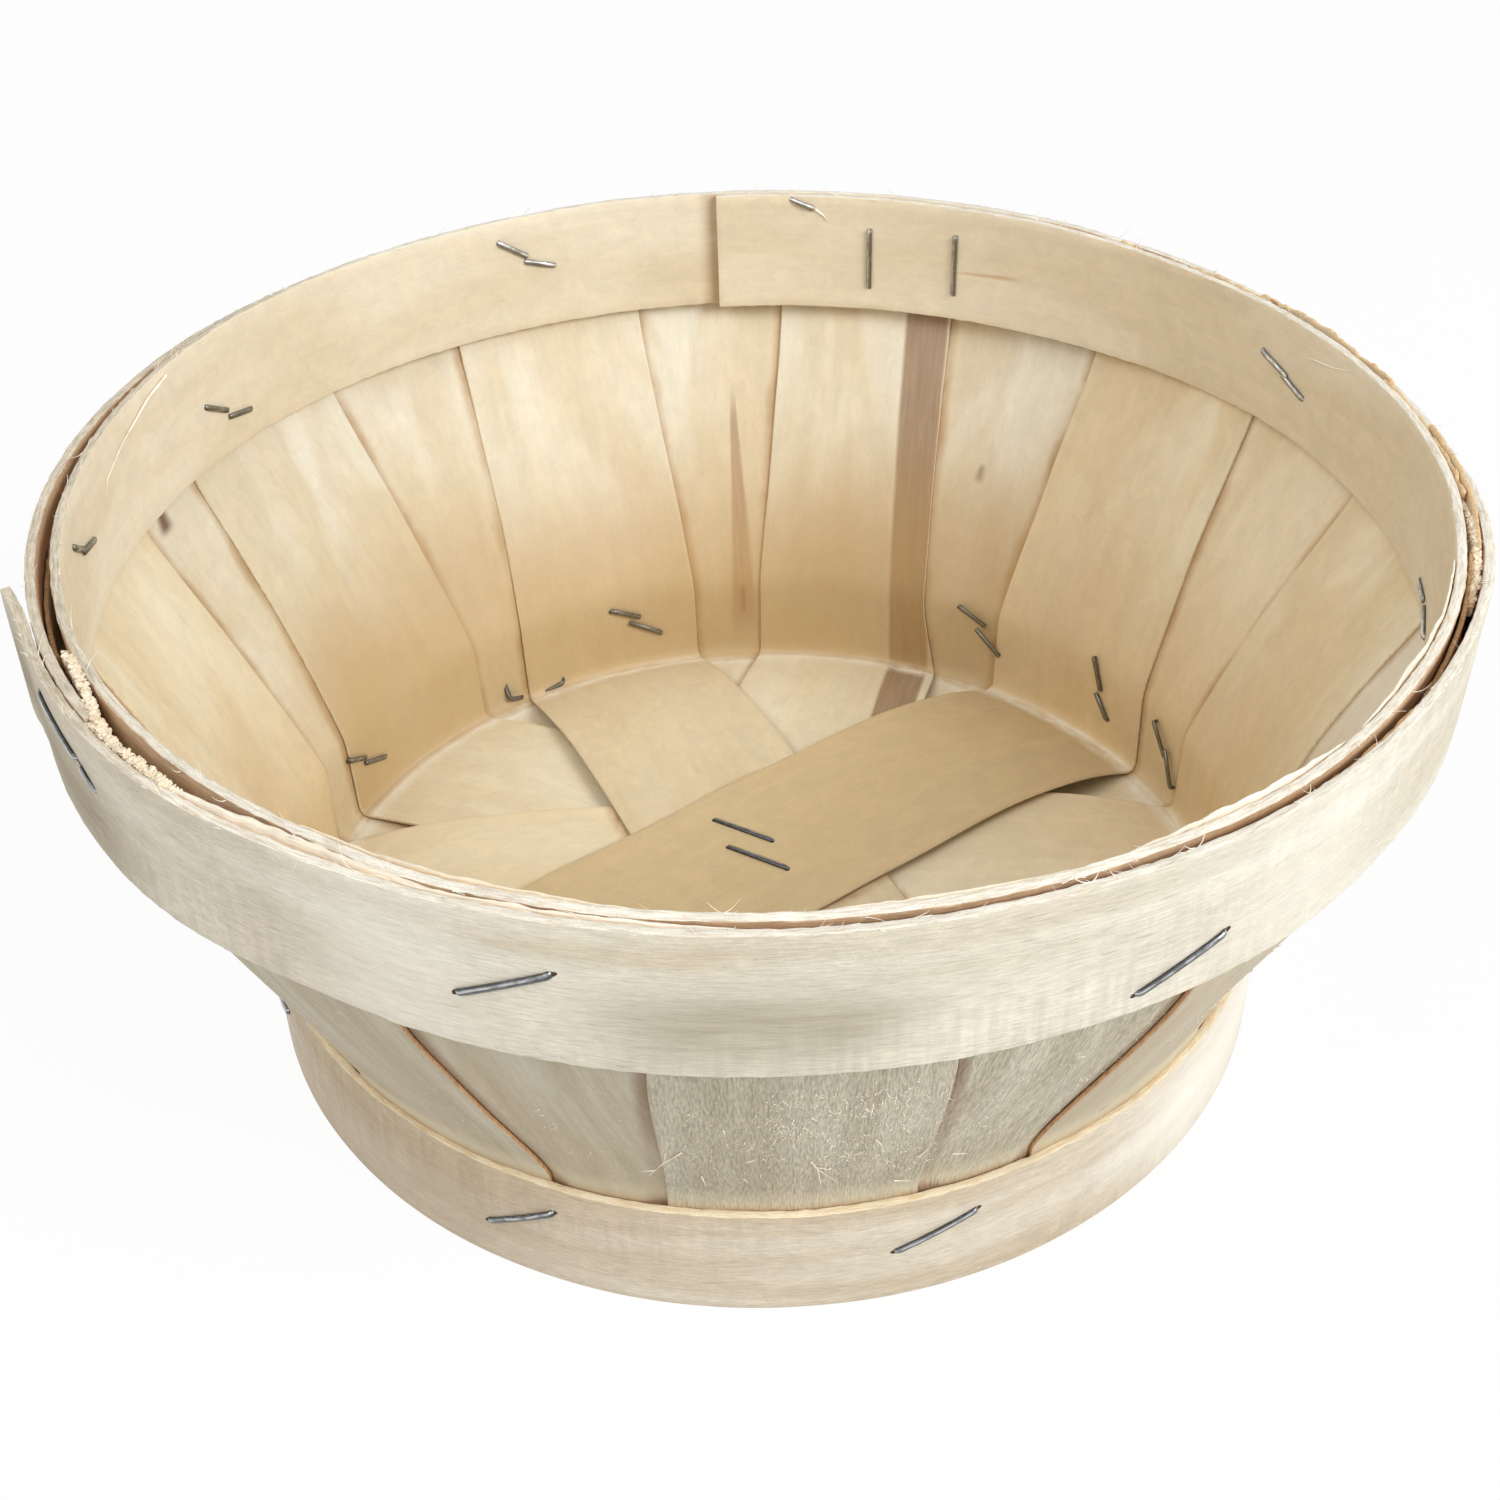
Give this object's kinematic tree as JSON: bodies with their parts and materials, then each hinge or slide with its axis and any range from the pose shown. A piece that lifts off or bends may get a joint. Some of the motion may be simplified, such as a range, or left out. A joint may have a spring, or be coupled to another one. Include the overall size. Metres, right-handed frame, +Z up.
{
  "type": "splint basket",
  "caption": "Round flared basket of crossed wooden splints stapled between two rim hoops and inside a base hoop.",
  "frame": {"origin": "the middle of the base hoop's lower edge, on the surface that the basket stands on", "axes": "+Z up, out of the basket's mouth; +X to the right and +Y to the back as the basket is seen in the picture"},
  "size_m": [0.2619, 0.2615, 0.1138],
  "materials": {
    "splint_outer": "bare thin-peeled softwood, matt, honey beige, grain along the strip",
    "splint_inner": "bare thin-peeled softwood, matt, cream, grain along the strip",
    "hoop": "bare thin-sawn softwood, matt, greyish beige, fuzzy edges, grain along the hoop",
    "staple": "dull steel wire, slightly dark"
  },
  "bodies": {
    "root": {"splint_outer_1": "splint_outer", "splint_outer_2": "splint_outer", "splint_outer_3": "splint_outer", "splint_outer_4": "splint_outer", "splint_outer_5": "splint_outer", "splint_inner_1": "splint_inner", "splint_inner_2": "splint_inner", "splint_inner_3": "splint_inner", "splint_inner_4": "splint_inner", "splint_inner_5": "splint_inner", "rim_hoop_outer": "hoop", "rim_hoop_inner": "hoop", "base_hoop": "hoop", "rim_staple_01": "staple", "rim_staple_02": "staple", "rim_staple_03": "staple", "rim_staple_04": "staple", "rim_staple_05": "staple", "rim_staple_06": "staple", "rim_staple_07": "staple", "rim_staple_08": "staple", "rim_staple_09": "staple", "rim_staple_10": "staple", "inner_hoop_staple_01": "staple", "inner_hoop_staple_02": "staple", "base_staple_01": "staple", "base_staple_02": "staple", "base_staple_03": "staple", "base_staple_04": "staple", "base_staple_05": "staple", "base_staple_06": "staple", "base_staple_07": "staple", "base_staple_08": "staple", "base_staple_09": "staple", "base_staple_10": "staple", "floor_staple_01": "staple", "floor_staple_02": "staple"}
  },
  "joints": []
}
